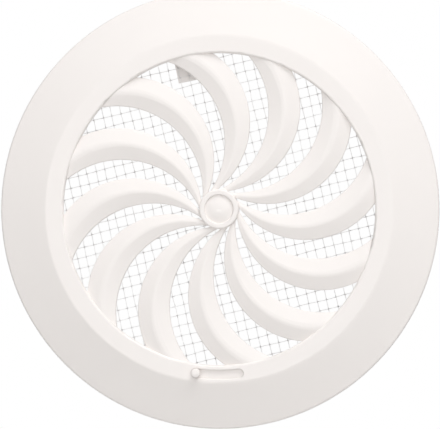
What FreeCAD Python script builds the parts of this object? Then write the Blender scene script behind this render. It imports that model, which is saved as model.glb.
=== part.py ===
"""Round vent cover with swirl blades, a turning shutter and an insect net.

Sizes are millimetres and degrees. Every piece is drawn about the local Z axis: local z = 0 is the
wall plane, +z points into the room and -z into the duct. Each piece is then stood upright, so that
the cover faces -Y, +Z is up and the duct runs along +Y.
"""
import FreeCAD, Part
import math
import os
import re
import Sketcher

doc = FreeCAD.newDocument("round_vent_cover")
sheet = doc.addObject("Spreadsheet::Sheet", "Sizes")

# Driving dimensions: name, value, what it measures
DIMENSIONS = [
    ("collar_radius", 62.0, "outside of the collar, for a 125 mm duct"),
    ("collar_wall", 1.9, "wall of the collar in front of the net seat"),
    ("collar_length", 22.0, "collar behind the wall plane"),
    ("collar_lead", 0.6, "rounded lead at the collar's rear edge"),
    ("bead_width", 1.8, "bead outside the collar, bonded to the cover's back"),
    ("bead_thickness", 1.5, "that bead"),
    ("seat_inset", 1.2, "collar's bore to the inside of its seat on the cover"),
    ("flange_overlap", 13.0, "flange outside the collar"),
    ("flange_height", 7.0, "wall plane to the flat ring's front"),
    ("cone_drop", 4.5, "fall of the cone from the ring to the lip"),
    ("shell_wall", 1.2, "wall of the cone and the lip"),
    ("ring_wall", 0.8, "wall of the flat ring"),
    ("lip_round", 0.8, "rounded front edge of the lip"),
    ("cone_round", 3.2, "rounded turn from the ring to the cone"),
    ("ring_inset", 6.9, "collar's bore to the opening's edge"),
    ("ring_width", 6.1, "flat ring, from the opening's edge to the cone"),
    ("opening_round", 0.8, "rounded edge of the opening"),
    ("rim_rib", 0.7, "wall that carries the blades' outer ends"),
    ("blade_count", 12, "blades round the hub"),
    ("blade_angle", 16.93, "width of a blade at the opening's edge"),
    ("blade_start", 32.23, "place of the first blade's outer arc at the opening's edge"),
    ("outer_sweep", 29.5, "outer arc, from its centre's direction to the opening's edge"),
    ("inner_sweep", 31.92, "inner arc, from its centre's direction to the opening's edge"),
    ("outer_turn", 0.96, "outer arc's turning point, inside the hub's edge"),
    ("inner_turn", 0.83, "inner arc's turning point, inside the hub's edge"),
    ("blade_recess", 1.5, "ring's front to the blades' edges"),
    ("blade_edge", 1.3, "thickness of the blades' edges"),
    ("facet_angle", 14.5, "slope of the blades' two facets"),
    ("ridge_root_round", 0.6, "rounded ridge of the blades, at the hub"),
    ("ridge_rim_round", 5.0, "rounded ridge of the blades, at the rim"),
    ("edge_round", 0.35, "rounded front edges of the blades"),
    ("hub_radius", 6.8, "outside of the hub"),
    ("hub_rise", 1.4, "hub above the blades' edges"),
    ("hub_round", 0.6, "rounded edge of the hub"),
    ("dish_inset", 2.0, "hub's edge to the dish"),
    ("dish_depth", 0.8, "dish below the hub's top, at its edge"),
    ("dish_crown", 0.75, "rise of the dish's floor at its middle"),
    ("dish_round", 0.5, "rounded edge of the dish"),
    ("post_radius", 3.0, "pivot post behind the hub"),
    ("pilot_radius", 1.2, "screw hole in the post"),
    ("hub_floor", 1.2, "plastic left between the screw hole and the dish"),
    ("slot_inset", 3.15, "opening's edge to the middle of the slot"),
    ("slot_width", 2.95, "width of the arc slot"),
    ("slot_round", 0.35, "rounded edge of the slot"),
    ("knob_angle", 262.0, "place of the knob with the shutter open"),
    ("shutter_travel", 15.0, "turn from open to closed"),
    ("shutter_gap", 0.3, "blades' back to the shutter"),
    ("shutter_thickness", 1.6, "plate of the shutter"),
    ("shutter_clearance", 0.4, "shutter's edge to the collar's bore"),
    ("shutter_inset", 0.3, "shutter's blades inside the cover's blades, each side"),
    ("shutter_overlap", 0.6, "shutter's rim outside the opening's edge"),
    ("slide_margin", 0.3, "shutter's slide pad outside the slot"),
    ("slide_gap", 0.15, "slide pad to the ring's back"),
    ("boss_wall", 3.2, "wall of the shutter's boss"),
    ("boss_length", 1.4, "boss behind the shutter's plate"),
    ("pivot_clearance", 0.05, "post to the boss's bore, all round"),
    ("pivot_play", 0.2, "boss to the washer"),
    ("stem_clearance", 0.25, "knob's stem to the slot's edge"),
    ("cap_overlap", 0.12, "knob's cap outside the slot's edge: it snaps through once"),
    ("cap_gap", 0.3, "ring's front to the back of the knob's cap"),
    ("knob_rise", 2.6, "knob above the ring's front"),
    ("knob_crown", 0.3, "rise of the knob's domed end"),
    ("knob_round", 0.45, "rounded edge of the knob's end"),
    ("washer_radius", 5.0, "outside of the washer"),
    ("washer_thickness", 0.6, "washer"),
    ("washer_clearance", 0.15, "screw to the washer's hole, all round"),
    ("screw_clearance", 0.05, "screw to its hole, all round"),
    ("screw_tip_gap", 0.4, "screw's end to the bottom of its hole"),
    ("head_radius", 2.6, "screw's pan head"),
    ("head_height", 1.4, "screw's pan head"),
    ("head_round", 0.6, "rounded edge of the pan head"),
    ("drive_width", 0.7, "arms of the cross recess"),
    ("drive_length", 2.6, "length of the cross recess"),
    ("drive_depth", 0.7, "depth of the cross recess"),
    ("net_gap", 0.5, "screw's head to the net"),
    ("net_step", 0.5, "shoulder that the net sits on"),
    ("net_clearance", 0.1, "net's edge to the collar"),
    ("net_thickness", 0.5, "net"),
    ("net_border", 3.0, "welded border of the net"),
    ("net_pitch", 10.8, "net's ridges, middle to middle"),
    ("net_thread", 0.6, "width of the net's ridges"),
    ("net_tilt", 13.0, "turn of the net in the collar"),
    ("band_clearance", 0.1, "net ring's edge to the collar"),
    ("band_width", 3.2, "net ring, outside to inside"),
    ("band_thickness", 2.5, "net ring"),
    ("tab_angle", 102.0, "place of the grip tab"),
    ("tab_width", 9.9, "grip tab"),
    ("tab_reach", 12.0, "grip tab inside the net ring"),
    ("tab_thickness", 1.2, "grip tab"),
]

# Sizes that follow from the driving ones: name, expression
DERIVED = [
    ("collar_bore", "collar_radius - collar_wall"),
    ("net_bore", "collar_bore + net_step"),
    ("flange_radius", "collar_radius + flange_overlap"),
    ("far_radius", "4 * flange_radius"),
    ("opening_radius", "collar_bore - ring_inset"),
    ("ring_radius", "opening_radius + ring_width"),
    ("rib_radius", "opening_radius + rim_rib"),
    ("lip_height", "flange_height - cone_drop"),
    ("ring_back", "flange_height - ring_wall"),
    ("cone_slope", "cone_drop / (flange_radius - ring_radius)"),
    ("lip_bore", "flange_radius - shell_wall"),
    ("lip_ceiling", "lip_height + cone_slope * shell_wall - shell_wall"),
    ("bead_radius", "collar_radius + bead_width"),
    ("seat_height", "lip_height + cone_slope * (flange_radius - bead_radius) - shell_wall"),
    ("seat_bore", "collar_bore - seat_inset"),
    ("bead_back", "seat_height - bead_thickness"),
    ("edge_height", "flange_height - blade_recess"),
    ("blade_back", "edge_height - blade_edge"),
    ("outer_reach", "hub_radius - outer_turn"),
    ("inner_reach", "hub_radius - inner_turn"),
    ("outer_chord", "opening_radius * cos(outer_sweep) - outer_reach"),
    ("inner_chord", "opening_radius * cos(inner_sweep) - inner_reach"),
    ("outer_centre", "(opening_radius ^ 2 - outer_reach ^ 2) / (2 * outer_chord)"),
    ("inner_centre", "(opening_radius ^ 2 - inner_reach ^ 2) / (2 * inner_chord)"),
    ("outer_arc", "outer_centre - outer_reach"),
    ("inner_arc", "inner_centre - inner_reach"),
    ("outer_heading", "blade_start + outer_sweep"),
    ("inner_heading", "blade_start + blade_angle + inner_sweep"),
    ("blade_end", "opening_radius + rim_rib / 2"),
    ("blade_root", "hub_radius - hub_round"),
    ("hub_top", "edge_height + hub_rise"),
    ("dish_radius", "hub_radius - dish_inset"),
    ("dish_edge", "hub_top - dish_depth"),
    ("dish_top", "dish_edge + dish_crown"),
    ("pilot_end", "dish_edge - hub_floor"),
    ("slot_orbit", "opening_radius + slot_inset"),
    ("slot_half", "slot_width / 2"),
    ("knob_stop", "knob_angle + shutter_travel"),
    ("shutter_front", "blade_back - shutter_gap"),
    ("shutter_back", "shutter_front - shutter_thickness"),
    ("slide_half", "slot_half + slide_margin"),
    ("slide_start", "knob_angle - shutter_travel"),
    ("slide_rise", "ring_back - slide_gap - shutter_front"),
    ("shutter_radius", "collar_bore - shutter_clearance"),
    ("shutter_opening", "opening_radius + shutter_overlap"),
    ("boss_bore", "post_radius + pivot_clearance"),
    ("boss_radius", "boss_bore + boss_wall"),
    ("boss_back", "shutter_back - boss_length"),
    ("post_end", "boss_back - pivot_play"),
    ("stem_radius", "slot_half - stem_clearance"),
    ("cap_radius", "slot_half + cap_overlap"),
    ("cap_back", "flange_height + cap_gap"),
    ("knob_top", "flange_height + knob_rise"),
    ("knob_edge", "knob_top - knob_crown"),
    ("washer_back", "post_end - washer_thickness"),
    ("screw_radius", "pilot_radius - screw_clearance"),
    ("screw_tip", "pilot_end - screw_tip_gap"),
    ("washer_bore", "screw_radius + washer_clearance"),
    ("head_back", "washer_back - head_height"),
    ("net_seat", "head_back - net_gap"),
    ("net_radius", "net_bore - net_clearance"),
    ("net_bore_radius", "net_radius - net_border"),
    ("net_back", "net_seat - net_thickness"),
    ("net_rows", "2 * floor(net_bore_radius / net_pitch) + 2"),
    ("net_span", "(net_rows - 1) * net_pitch"),
    ("band_radius", "net_bore - band_clearance"),
    ("band_bore", "band_radius - band_width"),
    ("band_back", "net_back - band_thickness"),
    ("tab_root", "band_radius - band_width / 2"),
    ("tab_tip", "band_bore - tab_reach"),
]

NAMES = {row[0] for row in DIMENSIONS + DERIVED}
NEAR = 1e-4
ORIGIN = FreeCAD.Vector(0, 0, 0)
ACROSS = FreeCAD.Vector(1, 0, 0)
AXIS = FreeCAD.Vector(0, 0, 1)


def fill_sheet():
    """Write the driving numbers, and the expressions that follow from them, under their aliases."""
    for row, (name, value, meaning) in enumerate(DIMENSIONS, start=1):
        sheet.set(f"A{row}", name)
        sheet.set(f"B{row}", str(value))
        sheet.set(f"C{row}", meaning)
        sheet.setAlias(f"B{row}", name)
    for row, (name, expression) in enumerate(DERIVED, start=1):
        sheet.set(f"E{row}", name)
        sheet.set(f"F{row}", f"={expression}")
        sheet.setAlias(f"F{row}", name)
        doc.recompute()


def from_sheet(expression):
    """The expression with every size's name read from the sheet."""
    return re.sub(r"[a-z_]+", lambda word: f"Sizes.{word[0]}" if word[0] in NAMES else word[0], expression)


def number(expression):
    """The expression's present value."""
    return float(sheet.evalExpression(from_sheet(expression)))


def bind(feature, path, expression):
    """Tie one property of a feature to the sheet."""
    feature.setExpression(path, from_sheet(expression))


def settle(feature):
    """Recompute, and stop at the first feature that fails."""
    doc.recompute()
    if "Invalid" in feature.State or "Error" in feature.State or feature.Shape.isNull():
        raise RuntimeError(f"{feature.Name} failed: {feature.State}")
    return feature


def origin_feature(body, role):
    """A plane or axis of the body's own origin."""
    return next(item for item in body.Origin.OriginFeatures if item.Role == role)


def new_body(name):
    """An empty body about the local Z axis."""
    body = doc.addObject("PartDesign::Body", name)
    body.Label = name
    return body


def stand_upright(body):
    """Turn a piece so that its local Z axis points to -Y, out of the wall."""
    body.Placement = FreeCAD.Placement(ORIGIN, FreeCAD.Rotation(ACROSS, 90))


def section_sketch(body, name, heading="0", distance="0"):
    """A sketch of a half-section: across is the radius, up is the local height.

    Its upright axis is the Z axis, or stands at a heading and a distance from it.
    """
    sketch = body.newObject("Sketcher::SketchObject", name)
    sketch.AttachmentSupport = [(origin_feature(body, "XZ_Plane"), "")]
    sketch.MapMode = "FlatFace"
    if distance != "0":
        bind(sketch, "AttachmentOffset.Base.x", f"{distance} * cos({heading})")
        bind(sketch, "AttachmentOffset.Base.z", f"-{distance} * sin({heading})")
    return sketch


def level_sketch(body, name, height, turn="0"):
    """A sketch that lies level at a height, turned about the Z axis."""
    sketch = body.newObject("Sketcher::SketchObject", name)
    sketch.AttachmentSupport = [(origin_feature(body, "XY_Plane"), "")]
    sketch.MapMode = "FlatFace"
    place = AXIS * number(height)
    sketch.AttachmentOffset = FreeCAD.Placement(place, FreeCAD.Rotation(AXIS, number(turn)))
    bind(sketch, "AttachmentOffset.Base.z", height)
    if turn != "0":
        bind(sketch, "AttachmentOffset.Rotation.Angle", turn)
    return sketch


def tie(sketch, kind, expression, *where):
    """Add a dimension to a sketch and tie its value to the sheet."""
    place = sketch.addConstraint(Sketcher.Constraint(kind, *where, number(expression)))
    name = f"{kind}_{place}"
    sketch.renameConstraint(place, name)
    bind(sketch, f"Constraints.{name}", expression)


def tie_point(sketch, curve, point, across, up):
    """Fix one point of a curve at two distances from the sketch's origin."""
    for kind, expression, axis in (("DistanceX", across, -2), ("DistanceY", up, -1)):
        if expression == "0":
            sketch.addConstraint(Sketcher.Constraint("PointOnObject", curve, point, axis))
        else:
            tie(sketch, kind, expression, -1, 1, curve, point)


def draw_outline(sketch, corners):
    """A closed outline of straight edges through corners, each a pair of expressions."""
    points = [FreeCAD.Vector(number(across), number(up), 0) for across, up in corners]
    following = points[1:] + points[:1]
    lines = [sketch.addGeometry(Part.LineSegment(*ends)) for ends in zip(points, following)]
    for line, after in zip(lines, lines[1:] + lines[:1]):
        sketch.addConstraint(Sketcher.Constraint("Coincident", line, 2, after, 1))
    for line, (across, up) in zip(lines, corners):
        tie_point(sketch, line, 1, across, up)


def draw_rectangle(sketch, left, right, bottom, top):
    """A rectangle between four expressions."""
    draw_outline(sketch, [(left, bottom), (right, bottom), (right, top), (left, top)])


def draw_circle(sketch, radius):
    """A circle about the sketch's origin."""
    circle = sketch.addGeometry(Part.Circle(ORIGIN, AXIS, number(radius)))
    sketch.addConstraint(Sketcher.Constraint("Coincident", circle, 3, -1, 1))
    tie(sketch, "Radius", radius, circle)


def draw_crowned_outline(sketch, corners):
    """A closed outline that starts on the Z axis and comes back to it along an arc about that axis."""
    points = [FreeCAD.Vector(number(across), number(up), 0) for across, up in corners]
    lines = [sketch.addGeometry(Part.LineSegment(*ends)) for ends in zip(points, points[1:])]
    for line, after in zip(lines, lines[1:]):
        sketch.addConstraint(Sketcher.Constraint("Coincident", line, 2, after, 1))
    for line, (across, up) in zip(lines, corners):
        tie_point(sketch, line, 1, across, up)
    tie_point(sketch, lines[-1], 2, *corners[-1])
    top, edge = points[0], points[-1]
    rise = top.y - edge.y
    radius = (edge.x ** 2 + rise ** 2) / (2 * rise)
    middle = FreeCAD.Vector(0, top.y - radius, 0)
    circle = Part.Circle(middle, AXIS, radius)
    start = math.atan2(edge.y - middle.y, edge.x)
    arc = sketch.addGeometry(Part.ArcOfCircle(circle, start, math.pi / 2))
    sketch.addConstraint(Sketcher.Constraint("Coincident", arc, 1, lines[-1], 2))
    sketch.addConstraint(Sketcher.Constraint("Coincident", arc, 2, lines[0], 1))
    sketch.addConstraint(Sketcher.Constraint("PointOnObject", arc, 3, -2))


def draw_arc_slot(sketch, orbit, half_width, start, stop):
    """A slot bent round the sketch's origin, with round ends at two angles."""
    first, last = math.radians(number(start)), math.radians(number(stop))
    spokes = []
    for angle, expression in ((first, start), (last, stop)):
        end = FreeCAD.Vector(math.cos(angle), math.sin(angle), 0) * number(orbit)
        spoke = sketch.addGeometry(Part.LineSegment(ORIGIN, end), True)
        sketch.addConstraint(Sketcher.Constraint("Coincident", spoke, 1, -1, 1))
        place = sketch.addConstraint(Sketcher.Constraint("Angle", spoke, angle))
        sketch.renameConstraint(place, f"Angle_{place}")
        bind(sketch, f"Constraints.Angle_{place}", expression)
        spokes.append((spoke, end))
    tie(sketch, "Distance", orbit, spokes[0][0])
    sides = []
    for radius in (number(orbit) + number(half_width), number(orbit) - number(half_width)):
        side = sketch.addGeometry(Part.ArcOfCircle(Part.Circle(ORIGIN, AXIS, radius), first, last))
        sketch.addConstraint(Sketcher.Constraint("Coincident", side, 3, -1, 1))
        sides.append(side)
    caps = []
    for (spoke, end), turn in zip(spokes, (first + math.pi, last)):
        circle = Part.Circle(end, AXIS, number(half_width))
        cap = sketch.addGeometry(Part.ArcOfCircle(circle, turn, turn + math.pi))
        sketch.addConstraint(Sketcher.Constraint("Coincident", cap, 3, spoke, 2))
        caps.append(cap)
    outer, inner = sides
    near, far = caps
    sketch.addConstraint(Sketcher.Constraint("Tangent", near, 2, outer, 1))
    sketch.addConstraint(Sketcher.Constraint("Tangent", outer, 2, far, 1))
    sketch.addConstraint(Sketcher.Constraint("Tangent", far, 2, inner, 2))
    sketch.addConstraint(Sketcher.Constraint("Coincident", inner, 1, near, 1))
    tie(sketch, "Radius", half_width, near)


def revolve(body, name, sketch):
    """Turn a half-section once round its upright axis."""
    feature = body.newObject("PartDesign::Revolution", name)
    feature.Profile = sketch
    feature.ReferenceAxis = (sketch, ["V_Axis"])
    feature.Angle = 360
    return settle(feature)


def pad(body, name, sketch, length):
    """Add a plate of the sketch's outline, towards the room."""
    feature = body.newObject("PartDesign::Pad", name)
    feature.Profile = sketch
    bind(feature, "Length", length)
    return settle(feature)


def pocket(body, name, sketch, length=None, forwards=False):
    """Cut the sketch's outline away, backwards or forwards, right through or to a length."""
    before = body.Tip.Shape.Volume
    feature = body.newObject("PartDesign::Pocket", name)
    feature.Profile = sketch
    feature.Reversed = forwards
    if length:
        bind(feature, "Length", length)
    else:
        feature.Type = "ThroughAll"
    settle(feature)
    if feature.Shape.Volume >= before - NEAR:
        raise RuntimeError(f"{name} cuts nothing")
    return feature


def primitive(body, kind, name, height, heading, distance, seam="0", **bound):
    """A round primitive on a level, its axis at a heading and a distance from the Z axis.

    The seam of its round face is turned to an angle of its own, clear of what it meets.
    """
    feature = body.newObject(f"PartDesign::{kind}", name)
    feature.AttachmentSupport = [(origin_feature(body, "XY_Plane"), "")]
    feature.MapMode = "FlatFace"
    feature.AttachmentOffset = FreeCAD.Placement(ORIGIN, FreeCAD.Rotation(AXIS, number(seam)))
    if seam != "0":
        bind(feature, "AttachmentOffset.Rotation.Angle", seam)
    bind(feature, "AttachmentOffset.Base.x", f"{distance} * cos({heading})")
    bind(feature, "AttachmentOffset.Base.y", f"{distance} * sin({heading})")
    bind(feature, "AttachmentOffset.Base.z", height)
    for path, expression in bound.items():
        bind(feature, path, expression)
    return settle(feature)


def round_edges(body, name, radius, chosen):
    """Fillet the edges of the body's last feature for which chosen(edge, shape) is true."""
    base = body.Tip
    shape = base.Shape
    edges = [f"Edge{place}" for place, edge in enumerate(shape.Edges, start=1) if chosen(edge, shape)]
    if not edges:
        raise RuntimeError(f"{name} finds no edge")
    feature = body.newObject("PartDesign::Fillet", name)
    feature.Base = (base, edges)
    bind(feature, "Radius", radius)
    return settle(feature)


def circle_at(radius, height, heading="0", distance="0"):
    """A choice of the circular edge of a radius at a height.

    It lies about the Z axis, or about an axis at a heading and a distance from it.
    """
    size, level = number(radius), number(height)
    across, up = (number(f"{distance} * {part}({heading})") for part in ("cos", "sin"))

    def chosen(edge, shape):
        if edge.Degenerated or not isinstance(edge.Curve, Part.Circle):
            return False
        middle = edge.Curve.Center
        centred = math.hypot(middle.x - across, middle.y - up) < NEAR and abs(middle.z - level) < NEAR
        return centred and abs(edge.Curve.Radius - size) < NEAR

    return chosen


def polar_pattern(body, name, count):
    """Repeat the whole body round the Z axis."""
    feature = body.newObject("PartDesign::PolarPattern", name)
    feature.TransformMode = "Whole shape"
    feature.Axis = (origin_feature(body, "Z_Axis"), [""])
    feature.Angle = 360
    bind(feature, "Occurrences", count)
    body.Tip = feature
    return settle(feature)


def combine(body, name, kind, tool):
    """Fuse another body into this one, or cut it away."""
    feature = body.newObject("PartDesign::Boolean", name)
    feature.Type = kind
    feature.setObjects([tool])
    body.Tip = feature
    return settle(feature)


def trim_between(body, inside, outside):
    """Keep what lies between two radii."""
    beyond = level_sketch(body, f"{body.Name}_beyond", "flange_height")
    draw_circle(beyond, outside)
    draw_circle(beyond, "far_radius")
    pocket(body, f"{body.Name}_outer_end", beyond)
    within = level_sketch(body, f"{body.Name}_within", "flange_height")
    draw_circle(within, inside)
    pocket(body, f"{body.Name}_inner_end", within)


def faces_beside(edge, shape):
    """The kinds of surface on either side of an edge."""
    return [type(face.Surface) for face in shape.ancestorsOfType(edge, Part.Face)]


def is_blade_edge(edge, shape):
    """Whether an edge is where a facet of a blade meets the blade's side."""
    level = all(abs(vertex.Z - number("edge_height")) < NEAR for vertex in edge.Vertexes)
    return level and set(faces_beside(edge, shape)) == {Part.Cone, Part.Cylinder}


def make_blade():
    """One blade: it lies between two arcs, with a facet rising from either arc to the ridge.

    A facet that rises at one slope from an arc is a cone about the arc's centre, so a blade is the
    cone that narrows inside its outer arc, less the cone that widens outside its inner arc.
    """
    blade = new_body("blade")
    rise = "(flange_height - edge_height)"
    run = f"{rise} / tan(facet_angle)"
    outer = ("outer_heading", "outer_centre", "outer_heading")
    inner = ("inner_heading", "inner_centre", "inner_heading")
    primitive(blade, "AdditiveCylinder", "outer_side", "blade_back", *outer,
              Radius="outer_arc", Height="blade_edge")
    primitive(blade, "AdditiveCone", "outer_facet", "edge_height", *outer,
              Radius1="outer_arc", Radius2=f"outer_arc - {run}", Height=rise)
    primitive(blade, "SubtractiveCylinder", "inner_side", "blade_back", *inner,
              Radius="inner_arc", Height="blade_edge")
    primitive(blade, "SubtractiveCone", "inner_facet", "edge_height", *inner,
              Radius1="inner_arc", Radius2=f"inner_arc + {run}", Height=rise)
    trim_between(blade, "blade_root", "blade_end")
    round_edges(blade, "blade_edges", "edge_round", is_blade_edge)
    return blade


def round_ridge(blade):
    """The blade with its ridge rounded more and more from the hub to the rim."""
    shape = blade.Shape
    facets = [Part.Cone, Part.Cone]
    edges = list(enumerate(shape.Edges, start=1))
    place, ridge = next(numbered for numbered in edges if faces_beside(numbered[1], shape) == facets)
    start, stop = (ridge.valueAt(ridge.ParameterRange[end]) for end in (0, 1))
    radii = [number("ridge_root_round"), number("ridge_rim_round")]
    if math.hypot(start.x, start.y) > math.hypot(stop.x, stop.y):
        radii.reverse()
    rounded = doc.addObject("Part::Fillet", "blade_ridge")
    rounded.Base = blade
    rounded.Edges = [(place, *radii)]
    return settle(rounded)


def make_swirl():
    """All the cover's blades."""
    swirl = new_body("swirl")
    swirl.BaseFeature = round_ridge(make_blade())
    doc.recompute()
    polar_pattern(swirl, "swirl_pattern", "blade_count")
    return swirl


def make_cover():
    """Flange, ring, hub, post and blades, in one moulding."""
    cover = new_body("cover")
    section = section_sketch(cover, "flange_section")
    draw_outline(section, [
        ("opening_radius", "blade_back"),
        ("opening_radius", "flange_height"),
        ("ring_radius", "flange_height"),
        ("flange_radius", "lip_height"),
        ("flange_radius", "0"),
        ("lip_bore", "0"),
        ("lip_bore", "lip_ceiling"),
        ("bead_radius", "seat_height"),
        ("seat_bore", "seat_height"),
        ("seat_bore", "ring_back"),
        ("rib_radius", "ring_back"),
        ("rib_radius", "blade_back"),
    ])
    revolve(cover, "flange", section)
    round_edges(cover, "opening_edge", "opening_round", circle_at("opening_radius", "flange_height"))
    round_edges(cover, "cone_turn", "cone_round", circle_at("ring_radius", "flange_height"))
    round_edges(cover, "lip_edge", "lip_round", circle_at("flange_radius", "lip_height"))

    slot = level_sketch(cover, "slot_outline", "flange_height")
    draw_arc_slot(slot, "slot_orbit", "slot_half", "knob_angle", "knob_stop")
    pocket(cover, "slot", slot)
    low, high = number("slot_orbit - slot_width"), number("slot_orbit + slot_width")

    def is_slot_edge(edge, shape):
        on_front = all(abs(vertex.Z - number("flange_height")) < NEAR for vertex in edge.Vertexes)
        ends = [math.hypot(vertex.X, vertex.Y) for vertex in edge.Vertexes]
        return on_front and len(ends) == 2 and all(low < end < high for end in ends)

    round_edges(cover, "slot_edge", "slot_round", is_slot_edge)

    hub = section_sketch(cover, "hub_section")
    draw_crowned_outline(hub, [
        ("0", "dish_top"),
        ("0", "pilot_end"),
        ("pilot_radius", "pilot_end"),
        ("pilot_radius", "post_end"),
        ("post_radius", "post_end"),
        ("post_radius", "blade_back"),
        ("hub_radius", "blade_back"),
        ("hub_radius", "hub_top"),
        ("dish_radius", "hub_top"),
        ("dish_radius", "dish_edge"),
    ])
    revolve(cover, "hub", hub)
    round_edges(cover, "hub_edge", "hub_round", circle_at("hub_radius", "hub_top"))
    round_edges(cover, "dish_edge_round", "dish_round", circle_at("dish_radius", "hub_top"))

    combine(cover, "blades_joined", "Fuse", make_swirl())
    return cover


def make_collar():
    """Tube that goes into the duct: a bead bonds it to the cover, and a shoulder inside seats the net."""
    collar = new_body("collar")
    section = section_sketch(collar, "collar_section")
    draw_outline(section, [
        ("collar_bore", "seat_height"),
        ("bead_radius", "seat_height"),
        ("bead_radius", "bead_back"),
        ("collar_radius", "bead_back"),
        ("collar_radius", "-collar_length"),
        ("net_bore", "-collar_length"),
        ("net_bore", "net_seat"),
        ("collar_bore", "net_seat"),
    ])
    revolve(collar, "tube", section)
    round_edges(collar, "collar_edge", "collar_lead", circle_at("collar_radius", "-collar_length"))
    return collar


def make_shutter():
    """Plate with matching blades, boss that turns on the post, and capped knob that stands through the slot.

    A slide pad just behind the ring closes the slot at every turn of the shutter.
    """
    shutter = new_body("shutter")
    outer = ("outer_heading", "outer_centre")
    inner = ("inner_heading", "inner_centre")
    knob = ("knob_angle", "slot_orbit")
    primitive(shutter, "AdditiveCylinder", "shutter_outer_side", "shutter_back", *outer,
              Radius="outer_arc - shutter_inset", Height="shutter_thickness")
    primitive(shutter, "SubtractiveCylinder", "shutter_inner_side", "shutter_back", *inner,
              Radius="inner_arc + shutter_inset", Height="shutter_thickness")
    trim_between(shutter, "blade_root", "(shutter_opening + shutter_radius) / 2")
    polar_pattern(shutter, "shutter_pattern", "blade_count")
    rim = level_sketch(shutter, "rim_outline", "shutter_back")
    draw_circle(rim, "shutter_opening")
    draw_circle(rim, "shutter_radius")
    pad(shutter, "rim", rim, "shutter_thickness")
    plate = level_sketch(shutter, "plate_outline", "shutter_back")
    draw_circle(plate, "boss_bore")
    draw_circle(plate, "hub_radius")
    pad(shutter, "plate", plate, "shutter_thickness")
    boss = level_sketch(shutter, "boss_outline", "boss_back")
    draw_circle(boss, "boss_bore")
    draw_circle(boss, "boss_radius")
    pad(shutter, "boss", boss, "boss_length")
    slide = level_sketch(shutter, "slide_outline", "shutter_front")
    draw_arc_slot(slide, "slot_orbit", "slide_half", "slide_start", "knob_stop")
    pad(shutter, "slide_pad", slide, "slide_rise")
    button = section_sketch(shutter, "knob_section", *knob)
    draw_crowned_outline(button, [
        ("0", "knob_top"),
        ("0", "shutter_front"),
        ("stem_radius", "shutter_front"),
        ("stem_radius", "cap_back"),
        ("cap_radius", "cap_back"),
        ("cap_radius", "knob_edge"),
    ])
    revolve(shutter, "knob", button)
    round_edges(shutter, "knob_end", "knob_round", circle_at("cap_radius", "knob_edge", *knob))
    return shutter


def make_pivot_washer():
    """Washer on the end of the post."""
    washer = new_body("pivot_washer")
    outline = level_sketch(washer, "washer_outline", "washer_back")
    draw_circle(outline, "washer_bore")
    draw_circle(outline, "washer_radius")
    pad(washer, "washer", outline, "washer_thickness")
    return washer


def make_pivot_screw():
    """Pan-head screw in the post, with a cross recess."""
    screw = new_body("pivot_screw")
    head = level_sketch(screw, "head_outline", "head_back")
    draw_circle(head, "head_radius")
    pad(screw, "head", head, "head_height")
    round_edges(screw, "head_edge", "head_round", circle_at("head_radius", "head_back"))
    shank = level_sketch(screw, "shank_outline", "washer_back")
    draw_circle(shank, "screw_radius")
    pad(screw, "shank", shank, "screw_tip - washer_back")
    half_length, half_width = "drive_length / 2", "drive_width / 2"
    arms = {"across": (half_length, half_width), "upright": (half_width, half_length)}
    for name, (half_x, half_y) in arms.items():
        arm = level_sketch(screw, f"arm_{name}", "head_back")
        draw_rectangle(arm, f"-{half_x}", half_x, f"-{half_y}", half_y)
        pocket(screw, f"recess_{name}", arm, "drive_depth", forwards=True)
    return screw


def make_net_gaps():
    """The gaps of the net: a grid of squares, turned, and cut off at the border.

    They stand one thickness of the net proud of it on both sides, so that they cut right through.
    """
    gaps = new_body("net_gaps")
    cell = level_sketch(gaps, "gap_outline", "net_back - net_thickness", turn="net_tilt")
    low = "-(net_span + net_pitch - net_thread) / 2"
    high = f"{low} + net_pitch - net_thread"
    draw_rectangle(cell, low, high, low, high)
    gap = pad(gaps, "gap", cell, "3 * net_thickness")
    grid = gaps.newObject("PartDesign::LinearPattern", "grid")
    grid.Originals = [gap]
    grid.Direction = (cell, ["H_Axis"])
    grid.Direction2 = (cell, ["V_Axis"])
    for length, occurrences in (("Length", "Occurrences"), ("Length2", "Occurrences2")):
        bind(grid, length, "net_span")
        bind(grid, occurrences, "net_rows")
    gaps.Tip = grid
    settle(grid)
    beyond = level_sketch(gaps, "gaps_beyond", "net_seat + net_thickness")
    draw_circle(beyond, "net_bore_radius")
    draw_circle(beyond, "far_radius")
    pocket(gaps, "gaps_edge", beyond)
    return gaps


def make_insect_net():
    """Net: crossed ridges in a welded border, left where the gaps are cut from a disc."""
    net = new_body("insect_net")
    disc = level_sketch(net, "disc_outline", "net_back")
    draw_circle(disc, "net_radius")
    pad(net, "disc", disc, "net_thickness")
    combine(net, "gaps_cut", "Cut", make_net_gaps())
    return net


def make_net_ring():
    """Ring that holds the net against its seat, with a grip tab."""
    ring = new_body("net_ring")
    band = level_sketch(ring, "band_outline", "band_back")
    draw_circle(band, "band_bore")
    draw_circle(band, "band_radius")
    pad(ring, "band", band, "band_thickness")
    tab = level_sketch(ring, "tab_outline", "net_back - tab_thickness", turn="tab_angle")
    draw_rectangle(tab, "tab_tip", "tab_root", "-tab_width / 2", "tab_width / 2")
    pad(ring, "tab", tab, "tab_thickness")
    return ring


def check_features():
    """Stop if any feature of the document failed."""
    for feature in doc.Objects:
        if "Invalid" in feature.State or "Error" in feature.State:
            raise RuntimeError(f"{feature.Name} failed: {feature.State}")


def check_solid(piece):
    """Stop unless a piece is one sound solid."""
    shape = piece.Shape
    if shape.isNull() or not shape.isValid() or len(shape.Solids) != 1:
        raise RuntimeError(f"{piece.Label} isn't one sound solid")


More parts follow.
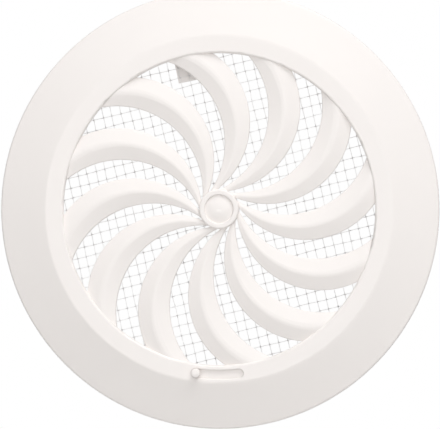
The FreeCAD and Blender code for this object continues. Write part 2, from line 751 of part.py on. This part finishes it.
fill_sheet()
makers = (
    make_cover,
    make_collar,
    make_shutter,
    make_pivot_washer,
    make_pivot_screw,
    make_insect_net,
    make_net_ring,
)
pieces = [make() for make in makers]
for piece in pieces:
    stand_upright(piece)
doc.recompute()
check_features()
for piece in pieces:
    check_solid(piece)
os.makedirs("parts", exist_ok=True)
for piece in pieces:
    piece.Shape.exportStep(f"parts/{piece.Label}.step")
    print(piece.Label, round(piece.Shape.Volume, 1), "mm3")
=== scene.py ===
# %% [markdown]
# # Dressing a round vent cover
# The packed model already holds every piece at its real size, in metres: the cover with its swirl
# blades, the collar behind it, the turning shutter, the insect net and its ring, and the pivot's
# screw and washer. This lesson gives each piece its finish, weaves the fine net that the model only
# hints at, and lights the vent as in a bright product photograph.
# The model could be rebuilt as new meshes, but then two versions of each size would exist. Loading
# it as a fixed frame keeps one. Unless a comment says otherwise, lengths are in metres and angles in
# degrees.

# %% Load the packed model
import math

import bpy
import numpy as np
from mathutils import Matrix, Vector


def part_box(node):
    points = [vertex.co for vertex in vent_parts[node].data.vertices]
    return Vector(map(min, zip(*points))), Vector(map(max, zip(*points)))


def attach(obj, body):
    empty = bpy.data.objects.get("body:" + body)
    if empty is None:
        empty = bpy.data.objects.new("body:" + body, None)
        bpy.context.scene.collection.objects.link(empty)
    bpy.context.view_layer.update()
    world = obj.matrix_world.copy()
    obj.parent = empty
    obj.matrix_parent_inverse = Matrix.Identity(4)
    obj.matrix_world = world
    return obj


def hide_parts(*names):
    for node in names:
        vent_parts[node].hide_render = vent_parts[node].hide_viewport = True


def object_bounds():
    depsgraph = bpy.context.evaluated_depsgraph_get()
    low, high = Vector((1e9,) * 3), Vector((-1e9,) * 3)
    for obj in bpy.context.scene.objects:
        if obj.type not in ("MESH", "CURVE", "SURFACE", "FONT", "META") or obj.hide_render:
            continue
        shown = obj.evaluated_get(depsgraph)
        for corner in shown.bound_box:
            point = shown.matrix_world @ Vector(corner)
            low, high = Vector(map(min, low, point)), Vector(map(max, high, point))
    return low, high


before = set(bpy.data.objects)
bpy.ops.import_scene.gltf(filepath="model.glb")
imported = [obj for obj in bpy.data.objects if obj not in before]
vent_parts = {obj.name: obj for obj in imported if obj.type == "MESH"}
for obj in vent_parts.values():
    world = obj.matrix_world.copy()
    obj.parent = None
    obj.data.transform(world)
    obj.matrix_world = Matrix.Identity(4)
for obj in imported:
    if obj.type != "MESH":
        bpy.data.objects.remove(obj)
cad_low, cad_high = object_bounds()
print("pieces in the model:", ", ".join(sorted(vent_parts)))

# %% [markdown]
# ## A grain for moulded plastic
# Injection-moulded plastic copies the steel of its mould: a very fine satin grain, and slow cloudy
# changes where the melt flowed. Painting that on images would tie it to one piece. A node group
# works it out from Object coordinates instead, so the same grain, at the same real scale, can go on
# the cover, the collar, the shutter and the net's ring, each with its own colours.

# %% Node helper


def add_node(tree, kind, **values):
    """Add a shader node and set its properties, or its inputs where the name is an input's."""
    node = tree.nodes.new(kind)
    for name, value in values.items():
        if name in node.inputs:
            node.inputs[name].default_value = value
        else:
            setattr(node, name, value)
    return node


print("add_node:", add_node.__doc__)

# %% The moulded grain group
GRAIN_SIZE = 0.00035
GRAIN_DETAIL = 2.0
CLOUD_SIZE = 0.022
CLOUD_DETAIL = 3.0
GRAIN_SHARE = 0.25


def make_moulded_grain():
    """Group: clouds of the melt's flow as a mask, and the mould's fine grain as a height."""
    group = bpy.data.node_groups.new("moulded_grain", "ShaderNodeTree")
    for name in ("Grain Size", "Cloud Size"):
        group.interface.new_socket(name, in_out="INPUT", socket_type="NodeSocketFloat")
    for name in ("Clouds", "Height"):
        group.interface.new_socket(name, in_out="OUTPUT", socket_type="NodeSocketFloat")
    group_in = add_node(group, "NodeGroupInput")
    group_out = add_node(group, "NodeGroupOutput")
    place = add_node(group, "ShaderNodeTexCoord")
    noises = {}
    for name, detail in (("Grain Size", GRAIN_DETAIL), ("Cloud Size", CLOUD_DETAIL)):
        per_metre = add_node(group, "ShaderNodeMath", operation="DIVIDE")
        per_metre.inputs[0].default_value = 1.0
        group.links.new(group_in.outputs[name], per_metre.inputs[1])
        noise = add_node(group, "ShaderNodeTexNoise", Detail=detail)
        group.links.new(place.outputs["Object"], noise.inputs["Vector"])
        group.links.new(per_metre.outputs["Value"], noise.inputs["Scale"])
        noises[name] = noise.outputs["Fac"]
    group.links.new(noises["Cloud Size"], group_out.inputs["Clouds"])
    height = add_node(group, "ShaderNodeMix", data_type="FLOAT")
    height.inputs["Factor"].default_value = GRAIN_SHARE
    group.links.new(noises["Cloud Size"], height.inputs["A"])
    group.links.new(noises["Grain Size"], height.inputs["B"])
    group.links.new(height.outputs["Result"], group_out.inputs["Height"])
    return group


moulded_grain = make_moulded_grain()
print("group:", moulded_grain.name, "with", len(moulded_grain.nodes), "nodes")

# %% [markdown]
# ## The white plastics
# The cover is a warm white, satin enough to show one soft highlight. Where the melt clouded, the
# colour shifts by a percent or so and the gloss with it. The shutter and the net's ring are of
# similar plastic, from moulds with a stronger grain, and the ring is duller.
# One finish could serve all three, but each piece comes from a mould of its own.
# Each finish is one Principled shader. Numbers that are the same all over stay on the shader's own
# sockets; only what changes over the surface comes through the group.

# %% Finish helpers


def blend_numbers(tree, factor, low, high):
    """Carry a mask from 0 to 1 onto the numbers from low to high."""
    span = add_node(tree, "ShaderNodeMapRange")
    tree.links.new(factor, span.inputs["Value"])
    span.inputs["To Min"].default_value = low
    span.inputs["To Max"].default_value = high
    return span.outputs["Result"]


def blend_colours(tree, factor, low, high):
    """Carry a mask from 0 to 1 onto the colours from low to high."""
    mix = add_node(tree, "ShaderNodeMix", data_type="RGBA")
    tree.links.new(factor, mix.inputs["Factor"])
    mix.inputs["A"].default_value = (*low, 1.0)
    mix.inputs["B"].default_value = (*high, 1.0)
    return mix.outputs["Result"]


def new_finish(name):
    """A material with one Principled shader and its output, and no other node."""
    finish = bpy.data.materials.new(name)
    finish.use_nodes = True
    tree = finish.node_tree
    tree.nodes.clear()
    shader = add_node(tree, "ShaderNodeBsdfPrincipled")
    output = add_node(tree, "ShaderNodeOutputMaterial")
    tree.links.new(shader.outputs["BSDF"], output.inputs["Surface"])
    return finish, tree, shader


for helper in (blend_numbers, blend_colours, new_finish):
    print(f"{helper.__name__}: {helper.__doc__}")

# %% White plastic finishes
GRAIN_RISE = 0.00002
PLASTIC_IOR = 1.5


def make_white_plastic(name, pale, deep, gloss, dull, grain_strength):
    """Plastic between two whites and two roughnesses, mixed by the clouds of the grain group."""
    finish, tree, shader = new_finish(name)
    grain = add_node(tree, "ShaderNodeGroup", node_tree=moulded_grain)
    grain.inputs["Grain Size"].default_value = GRAIN_SIZE
    grain.inputs["Cloud Size"].default_value = CLOUD_SIZE
    colour = blend_colours(tree, grain.outputs["Clouds"], deep, pale)
    tree.links.new(colour, shader.inputs["Base Color"])
    roughness = blend_numbers(tree, grain.outputs["Clouds"], gloss, dull)
    tree.links.new(roughness, shader.inputs["Roughness"])
    bump = add_node(tree, "ShaderNodeBump", Strength=grain_strength, Distance=GRAIN_RISE)
    tree.links.new(grain.outputs["Height"], bump.inputs["Height"])
    tree.links.new(bump.outputs["Normal"], shader.inputs["Normal"])
    shader.inputs["IOR"].default_value = PLASTIC_IOR
    return finish


cover_white = make_white_plastic(
    "cover_white",
    pale=(0.91, 0.867, 0.842),
    deep=(0.89, 0.847, 0.822),
    gloss=0.32,
    dull=0.44,
    grain_strength=0.25,
)
shutter_white = make_white_plastic(
    "shutter_white",
    pale=(0.905, 0.862, 0.836),
    deep=(0.88, 0.838, 0.812),
    gloss=0.3,
    dull=0.42,
    grain_strength=0.35,
)
ring_white = make_white_plastic(
    "ring_white",
    pale=(0.91, 0.88, 0.86),
    deep=(0.89, 0.86, 0.84),
    gloss=0.42,
    dull=0.55,
    grain_strength=0.6,
)
print("white plastics:", cover_white.name, shutter_white.name, ring_white.name)

# %% [markdown]
# ## Zinc-plated steel for the pivot
# The screw and washer that hold the shutter are cheap zinc-plated steel: bright, a little blue in
# the darker crystals, with a fine frosty spangle. A Voronoi pattern gives the spangle, because its
# cells have flat tones with sharp borders as zinc crystals do; noise would be too soft.

# %% Zinc finish
SPANGLE_SIZE = 0.0004
DARK_CRYSTAL = (0.56, 0.57, 0.58)
PALE_CRYSTAL = (0.7, 0.7, 0.69)
CRYSTAL_GLOSS = 0.24
CRYSTAL_DULL = 0.4


def make_zinc_steel():
    """Metal whose tone and roughness step from one crystal cell to the next."""
    finish, tree, shader = new_finish("zinc_steel")
    place = add_node(tree, "ShaderNodeTexCoord")
    cells = add_node(tree, "ShaderNodeTexVoronoi", Scale=1.0 / SPANGLE_SIZE)
    tree.links.new(place.outputs["Object"], cells.inputs["Vector"])
    chance = add_node(tree, "ShaderNodeSeparateColor")
    tree.links.new(cells.outputs["Color"], chance.inputs["Color"])
    colour = blend_colours(tree, chance.outputs["Red"], DARK_CRYSTAL, PALE_CRYSTAL)
    tree.links.new(colour, shader.inputs["Base Color"])
    roughness = blend_numbers(tree, chance.outputs["Green"], CRYSTAL_GLOSS, CRYSTAL_DULL)
    tree.links.new(roughness, shader.inputs["Roughness"])
    shader.inputs["Metallic"].default_value = 1.0
    return finish


zinc_steel = make_zinc_steel()
print("metal:", zinc_steel.name)

# %% [markdown]
# ## Which piece wears which finish
# The cover and the collar are the same plastic, so they share one finish. Each piece has a single
# finish all over. Its faces could be given finishes one by one, but nothing tells them apart, so
# the piece's list of materials is emptied and gets that one.

# %% Give the model's pieces their finishes
FINISHES = {
    "cover": cover_white,
    "collar": cover_white,
    "shutter": shutter_white,
    "net_ring": ring_white,
    "pivot_washer": zinc_steel,
    "pivot_screw": zinc_steel,
}
for part_name, part_finish in FINISHES.items():
    slots = vent_parts[part_name].data.materials
    slots.clear()
    slots.append(part_finish)
print("finished:", ", ".join(FINISHES))

# %% [markdown]
# ## The net's thread
# The net is woven from pale grey coated thread. Where two threads cross, the coating has run
# together into a darker knot. Each thread carries a `knot` value along its length, which is 1 at a
# crossing, and the finish reads it. A pattern on Object coordinates could not do that, because the
# threads wander a little and the knots go with them.

# %% Thread finish
FLECKS_PER_METRE = 700.0
FLECK_DETAIL = 2.0
THREAD_PALE = (0.94, 0.94, 0.94)
THREAD_DEEP = (0.9, 0.9, 0.9)
KNOT_GREY = (0.62, 0.62, 0.62)
THREAD_GLOSS = 0.45
THREAD_DULL = 0.65


def make_net_thread():
    """Grey coated thread, darker where the mesh's knot attribute is high."""
    finish, tree, shader = new_finish("net_thread")
    knot = add_node(tree, "ShaderNodeAttribute", attribute_name="knot")
    place = add_node(tree, "ShaderNodeTexCoord")
    fleck = add_node(tree, "ShaderNodeTexNoise", Scale=FLECKS_PER_METRE, Detail=FLECK_DETAIL)
    tree.links.new(place.outputs["Object"], fleck.inputs["Vector"])
    thread = blend_colours(tree, fleck.outputs["Fac"], THREAD_DEEP, THREAD_PALE)
    colour = add_node(tree, "ShaderNodeMix", data_type="RGBA")
    colour.inputs["B"].default_value = (*KNOT_GREY, 1.0)
    tree.links.new(knot.outputs["Fac"], colour.inputs["Factor"])
    tree.links.new(thread, colour.inputs["A"])
    tree.links.new(colour.outputs["Result"], shader.inputs["Base Color"])
    roughness = blend_numbers(tree, fleck.outputs["Fac"], THREAD_GLOSS, THREAD_DULL)
    tree.links.new(roughness, shader.inputs["Roughness"])
    return finish


net_thread = make_net_thread()
print("thread:", net_thread.name)

# %% [markdown]
# ## Weaving the net
# The real net has squares of about 3.3 mm, which would be over a thousand holes, so the model holds
# a coarser grille of the same outline. Here the true net takes its place.
# An image with holes would look flat from the side, and a lattice modifier would have no weave. Each
# thread is instead a six-sided tube carried along a nearly straight path: the path rises and falls
# as a cosine, so that each thread goes over one crossing and under the next, and it wanders
# sideways a little, as loose threads do. All threads of one direction are computed at once, as an
# array of threads by points by sides.

# %% Sizes of the net
net_low, net_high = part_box("insect_net")
NET_RADIUS = float(net_high.x)
NET_MIDDLE = float(net_low.y + net_high.y) / 2
NET_THICKNESS = float(net_high.y - net_low.y)
BORDER_WIDTH = 0.003
THREAD_WIDTH = 0.00017
THREAD_DEPTH = 0.00014
WEAVE_RISE = 0.00012
# The start is how far the thread nearest the axis lies from it, counted in pitches.
WEFT = {"tilt": 14.2, "pitch": 0.003437, "start": -0.272}
WARP = {"tilt": 102.9, "pitch": 0.003214, "start": 0.068}
print(f"net: {2000 * NET_RADIUS:.1f} mm across, {1000 * NET_THICKNESS:.2f} mm thick")
print(f"threads cross at {WARP['tilt'] - WEFT['tilt']:.1f} degrees")

# %% Thread paths
THREAD_POINTS = 145
STRAY = 0.00008
WANDER = 0.00010
SHORTEST_WAVE = 0.012
LONGEST_WAVE = 0.03
KNOT_SHARPNESS = 10


def along_threads(family):
    """Unit vector along a family of threads, in the net's plane."""
    tilt = math.radians(family["tilt"])
    return np.array([math.cos(tilt), math.sin(tilt)])


def across_threads(family):
    """Unit vector across a family of threads, in the net's plane."""
    tilt = math.radians(family["tilt"])
    return np.array([-math.sin(tilt), math.cos(tilt)])


def thread_paths(family, crossed, over, dice):
    """Paths of all threads of one family: their points in the net's plane, depths and knot values.

    Thread k runs along its family's direction at (k + start) pitches from the axis, give or take a
    chance stray, and wanders aside as a sine of its run. Its depth is the cosine of half turns
    counted in crossings, with every other thread a half turn behind. Over is 1 for one family and
    -1 for the other, so that one goes under where the other goes over. The knot value is a high
    power of a cosine of the same count, so it is 1 at a crossing and soon falls to 0 beside it.
    """
    reach = NET_RADIUS - BORDER_WIDTH / 2
    most = math.ceil(reach / family["pitch"]) + 1
    count = np.arange(-most, most + 1)
    offset = (count + family["start"]) * family["pitch"]
    kept = np.abs(offset) < reach - family["pitch"] / 2
    count, offset = count[kept], offset[kept]
    half = np.sqrt(reach ** 2 - offset ** 2)
    run = half[:, None] * np.linspace(-1, 1, THREAD_POINTS)
    stray = dice.normal(0, STRAY, len(count))
    wave = dice.uniform(SHORTEST_WAVE, LONGEST_WAVE, len(count))
    phase = dice.uniform(0, 2 * math.pi, len(count))
    drift = WANDER * np.sin(2 * math.pi * run / wave[:, None] + phase[:, None])
    aside = (offset + stray)[:, None] + drift
    plane = aside[..., None] * across_threads(family) + run[..., None] * along_threads(family)
    crossings = plane @ across_threads(crossed) / crossed["pitch"] - crossed["start"]
    depth = over * WEAVE_RISE * np.cos(math.pi * (crossings + count[:, None]))
    knot = (np.cos(math.pi * crossings) ** 2) ** KNOT_SHARPNESS
    return plane, depth, knot


print("points on each thread's path:", THREAD_POINTS)

# %% Thread tubes
THREAD_SIDES = 6
KNOT_SWELL = 1.0


def thread_tubes(family, plane, depth, knot):
    """Points of all tubes of one family, as threads by points by sides by (x, y, z).

    The section is an ellipse carried along the path. Its width grows by the swell times the knot
    value.
    """
    turn = np.arange(THREAD_SIDES) * 2 * math.pi / THREAD_SIDES
    width = THREAD_WIDTH / 2 * (1 + KNOT_SWELL * knot)[..., None] * np.cos(turn)
    rise = depth[..., None] + THREAD_DEPTH / 2 * np.sin(turn)
    flat = plane[:, :, None, :] + width[..., None] * across_threads(family)
    return np.stack([flat[..., 0], NET_MIDDLE + rise, flat[..., 1]], axis=-1)


def tube_faces(threads, points, sides):
    """Quads round every tube, from each ring of points to the next, and a cap at both its ends."""
    ring = np.arange(threads * points * sides).reshape(threads, points, sides)
    near, far = ring[:, :-1], ring[:, 1:]
    quads = np.stack([near, np.roll(near, -1, 2), np.roll(far, -1, 2), far], axis=-1)
    caps = np.concatenate([ring[:, 0, ::-1], ring[:, -1]])
    return quads.reshape(-1, 4), caps


print("sides of each thread:", THREAD_SIDES)

# %% Border surface
BORDER_TURNS = 240
BORDER_CLIP = 0.00012


def border_ring():
    """The welded border: a flat section with clipped corners, carried round the axis."""
    inner, outer = NET_RADIUS - BORDER_WIDTH, NET_RADIUS
    half, clip = NET_THICKNESS / 2, BORDER_CLIP
    section = np.array([
        (inner + clip, -half),
        (outer - clip, -half),
        (outer, clip - half),
        (outer, half - clip),
        (outer - clip, half),
        (inner + clip, half),
        (inner, half - clip),
        (inner, clip - half),
    ])
    radius, rise = section.T
    turn = np.arange(BORDER_TURNS) * 2 * math.pi / BORDER_TURNS
    points = np.stack([
        np.cos(turn)[:, None] * radius,
        np.broadcast_to(NET_MIDDLE + rise, (BORDER_TURNS, len(rise))),
        np.sin(turn)[:, None] * radius,
    ], axis=-1)
    ring = np.arange(BORDER_TURNS * len(rise)).reshape(BORDER_TURNS, len(rise))
    after = np.roll(ring, -1, 0)
    quads = np.stack([ring, np.roll(ring, -1, 1), np.roll(after, -1, 1), after], axis=-1)
    return points.reshape(-1, 3), quads.reshape(-1, 4)


border_points, border_quads = border_ring()
print("border:", len(border_quads), "faces")

# %% Make the net
THREAD_SEED = 7


def make_net():
    """One mesh of both thread families and the border, with the knot value on its points."""
    dice = np.random.default_rng(THREAD_SEED)
    corners, knots, faces = [], [], []
    start = 0
    for family, crossed, over in ((WEFT, WARP, 1), (WARP, WEFT, -1)):
        plane, depth, knot = thread_paths(family, crossed, over, dice)
        points = thread_tubes(family, plane, depth, knot)
        quads, caps = tube_faces(*points.shape[:3])
        corners.append(points.reshape(-1, 3))
        knots.append(np.repeat(knot, THREAD_SIDES))
        faces += (quads + start).tolist() + (caps + start).tolist()
        start += knot.size * THREAD_SIDES
    corners.append(border_points)
    knots.append(np.zeros(len(border_points)))
    faces += (border_quads + start).tolist()
    mesh = bpy.data.meshes.new("fine_net")
    mesh.from_pydata(np.concatenate(corners), [], faces)
    mesh.attributes.new("knot", "FLOAT", "POINT").data.foreach_set("value", np.concatenate(knots))
    mesh.polygons.foreach_set("use_smooth", np.ones(len(faces), bool))
    mesh.materials.append(net_thread)
    net = bpy.data.objects.new("fine_net", mesh)
    bpy.context.scene.collection.objects.link(net)
    return net


fine_net = make_net()
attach(fine_net, "cover")
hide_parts("insect_net")
print("net:", len(fine_net.data.polygons), "faces")

# %% [markdown]
# ## Camera
# The photograph looks almost straight at the vent's front, from a little to the right and below:
# the opening stands about a pixel left of the flange's middle, and it lies further forward. So the
# camera is turned round the vent by as many degrees as give that pixel. A long lens keeps the
# blades' sides from showing. The lens is worked out from the flange's width in the photograph, and
# a small lens shift puts the vent's middle where the photograph has it.

# %% Place the camera
# The photograph's size, and the flange's width and middle in it, in pixels.
PICTURE_WIDTH = 440
PICTURE_HEIGHT = 429
FLANGE_PIXELS = 438.8
CENTRE_ACROSS = 219.9
CENTRE_DOWN = 209.3
CAMERA_DISTANCE = 1.2
CAMERA_TURN = 3.2
CAMERA_DROP = 0.8
# The sensor is in millimetres, as Blender has it.
SENSOR_WIDTH = 36.0
# The flange keeps its full width up to this far in front of the wall.
RIM_DEPTH = 0.0017

flange_width = cad_high.x - cad_low.x
metres_per_pixel = flange_width / FLANGE_PIXELS
view_width = metres_per_pixel * PICTURE_WIDTH
camera_data = bpy.data.cameras.new("front_camera")
camera_data.sensor_width = SENSOR_WIDTH
camera_data.lens = SENSOR_WIDTH * (CAMERA_DISTANCE - RIM_DEPTH) / view_width
front_camera = bpy.data.objects.new("front_camera", camera_data)
bpy.context.scene.collection.objects.link(front_camera)
camera_turn = math.radians(CAMERA_TURN)
camera_drop = math.radians(CAMERA_DROP)
front_camera.location = (
    CAMERA_DISTANCE * math.sin(camera_turn) * math.cos(camera_drop),
    -CAMERA_DISTANCE * math.cos(camera_turn) * math.cos(camera_drop),
    -CAMERA_DISTANCE * math.sin(camera_drop),
)
front_camera.rotation_euler = (math.radians(90) + camera_drop, 0, camera_turn)
camera_data.shift_x = (PICTURE_WIDTH / 2 - CENTRE_ACROSS) / PICTURE_WIDTH
camera_data.shift_y = (CENTRE_DOWN - PICTURE_HEIGHT / 2) / PICTURE_WIDTH
bpy.context.scene.camera = front_camera
print(f"lens: {camera_data.lens:.1f} mm")

# %% [markdown]
# ## Light
# The photograph is lit softly from the front, and by light from above and a little from the right
# that grazes the vent's face: the knob's shadow is long and faint, and the slot's floor is evenly
# grey. Three square lamps do that. A wide one behind the camera gives most of the light and reaches
# what lies deep behind the blades. Two at a low angle to the face, one above and one at the upper
# right, give the cone and the facets their contrast. One lamp high in front could give the same
# contrast, but its shadows in the slot and behind the blades would be too dark.
# Two more lamps stand behind the vent, at its own height, where the floor takes little of their
# light. They show the collar and the shutter as white from behind as they are. Gloss doesn't
# reflect them, or else they would glint on the opening's wall, which the photograph shows as a fine
# dark line.
# The white surroundings are the world: rays that the camera sees, or that gloss reflects, find
# plain white, while the light that falls on the vent is held to a plain level, so that the plastic
# keeps its colour.

# %% Lamps
LAMP_DISTANCE = 3.0


def add_lamp(name, azimuth, off_axis, size, level):
    """A square soft lamp aimed at the vent, by its angle round the axis and its angle off it.

    A white face square to a small lamp reflects the given level of light, and a little less from
    a wide one.
    """
    data = bpy.data.lights.new(name, "AREA")
    data.size = size
    data.energy = level * (math.pi * LAMP_DISTANCE) ** 2
    lamp = bpy.data.objects.new(name, data)
    bpy.context.scene.collection.objects.link(lamp)
    aside = LAMP_DISTANCE * math.sin(math.radians(off_axis))
    ahead = LAMP_DISTANCE * math.cos(math.radians(off_axis))
    turn = math.radians(azimuth)
    lamp.location = (aside * math.cos(turn), -ahead, aside * math.sin(turn))
    lamp.rotation_euler = lamp.location.to_track_quat("Z", "Y").to_euler()
    return lamp


side_lamp = add_lamp("side_lamp", azimuth=66.0, off_axis=66.0, size=1.6, level=0.43)
high_lamp = add_lamp("high_lamp", azimuth=92.0, off_axis=62.0, size=2.6, level=0.405)
fill_lamp = add_lamp("fill_lamp", azimuth=90.0, off_axis=2.0, size=3.2, level=0.595)
right_rear_lamp = add_lamp("right_rear_lamp", azimuth=0.0, off_axis=164.0, size=0.5, level=0.27)
left_rear_lamp = add_lamp("left_rear_lamp", azimuth=180.0, off_axis=164.0, size=0.5, level=0.27)
for rear_lamp in (right_rear_lamp, left_rear_lamp):
    rear_lamp.visible_glossy = False
print("lamps in front:", side_lamp.name, high_lamp.name, fill_lamp.name)
print("lamps behind:", right_rear_lamp.name, left_rear_lamp.name)

# %% White room
AMBIENT_LEVEL = 0.08


def add_white_to_the_eye(tree):
    """A mask that is 1 for rays seen by the camera, reflected by gloss or let through glass."""
    path = add_node(tree, "ShaderNodeLightPath")
    mask = path.outputs["Is Camera Ray"]
    for name in ("Is Glossy Ray", "Is Transmission Ray"):
        larger = add_node(tree, "ShaderNodeMath", operation="MAXIMUM")
        tree.links.new(mask, larger.inputs[0])
        tree.links.new(path.outputs[name], larger.inputs[1])
        mask = larger.outputs["Value"]
    return mask


def make_white_room():
    """World that is white to the eye and lights the vent at the ambient level."""
    world = bpy.data.worlds.new("white_room")
    world.use_nodes = True
    tree = world.node_tree
    tree.nodes.clear()
    room = add_node(tree, "ShaderNodeBackground", Color=(1.0, 1.0, 1.0, 1.0))
    output = add_node(tree, "ShaderNodeOutputWorld")
    strength = blend_numbers(tree, add_white_to_the_eye(tree), AMBIENT_LEVEL, 1.0)
    tree.links.new(strength, room.inputs["Strength"])
    tree.links.new(room.outputs["Background"], output.inputs["Surface"])
    return world


bpy.context.scene.world = make_white_room()
print("room:", bpy.context.scene.world.name)

# %% [markdown]
# ## Floor
# A vent hangs on a wall, so the floor lies some way below it. A wall behind the vent could be shown
# instead, but the photograph has plain white there. The floor is a pale disc that keeps the vent's
# soft shadow, and it is small enough to stay out of the camera's view.

# %% Floor paint
FLOOR_PALE = (0.84, 0.84, 0.83)
FLOOR_DEEP = (0.8, 0.8, 0.79)
FLOOR_CLOUDS_PER_METRE = 3.0
FLOOR_ROUGHNESS = 0.8


def make_floor_paint():
    """Dull pale paint with slow clouds between two tones."""
    finish, tree, shader = new_finish("floor_paint")
    place = add_node(tree, "ShaderNodeTexCoord")
    cloud = add_node(tree, "ShaderNodeTexNoise", Scale=FLOOR_CLOUDS_PER_METRE)
    tree.links.new(place.outputs["Object"], cloud.inputs["Vector"])
    tone = blend_colours(tree, cloud.outputs["Fac"], FLOOR_DEEP, FLOOR_PALE)
    tree.links.new(tone, shader.inputs["Base Color"])
    shader.inputs["Roughness"].default_value = FLOOR_ROUGHNESS
    return finish


floor_paint = make_floor_paint()
print("paint:", floor_paint.name)

# %% Lay the floor
FLOOR_DROP = 0.30
FLOOR_RADIUS = 1.3
FLOOR_CORNERS = 96


def make_floor():
    """A level disc: corners on a circle, one face."""
    turn = np.arange(FLOOR_CORNERS) * 2 * math.pi / FLOOR_CORNERS
    level = np.full(FLOOR_CORNERS, cad_low.z - FLOOR_DROP)
    corners = np.stack([FLOOR_RADIUS * np.cos(turn), FLOOR_RADIUS * np.sin(turn), level], axis=-1)
    mesh = bpy.data.meshes.new("floor")
    mesh.from_pydata(corners, [], [list(range(FLOOR_CORNERS))])
    mesh.materials.append(floor_paint)
    disc = bpy.data.objects.new("floor", mesh)
    bpy.context.scene.collection.objects.link(disc)
    return disc


floor = make_floor()
print("floor:", FLOOR_DROP, "m below the vent")

# %% [markdown]
# ## View settings
# The Standard view shows colours as they were written.

# %% Finish
bpy.context.scene.view_settings.view_transform = "Standard"
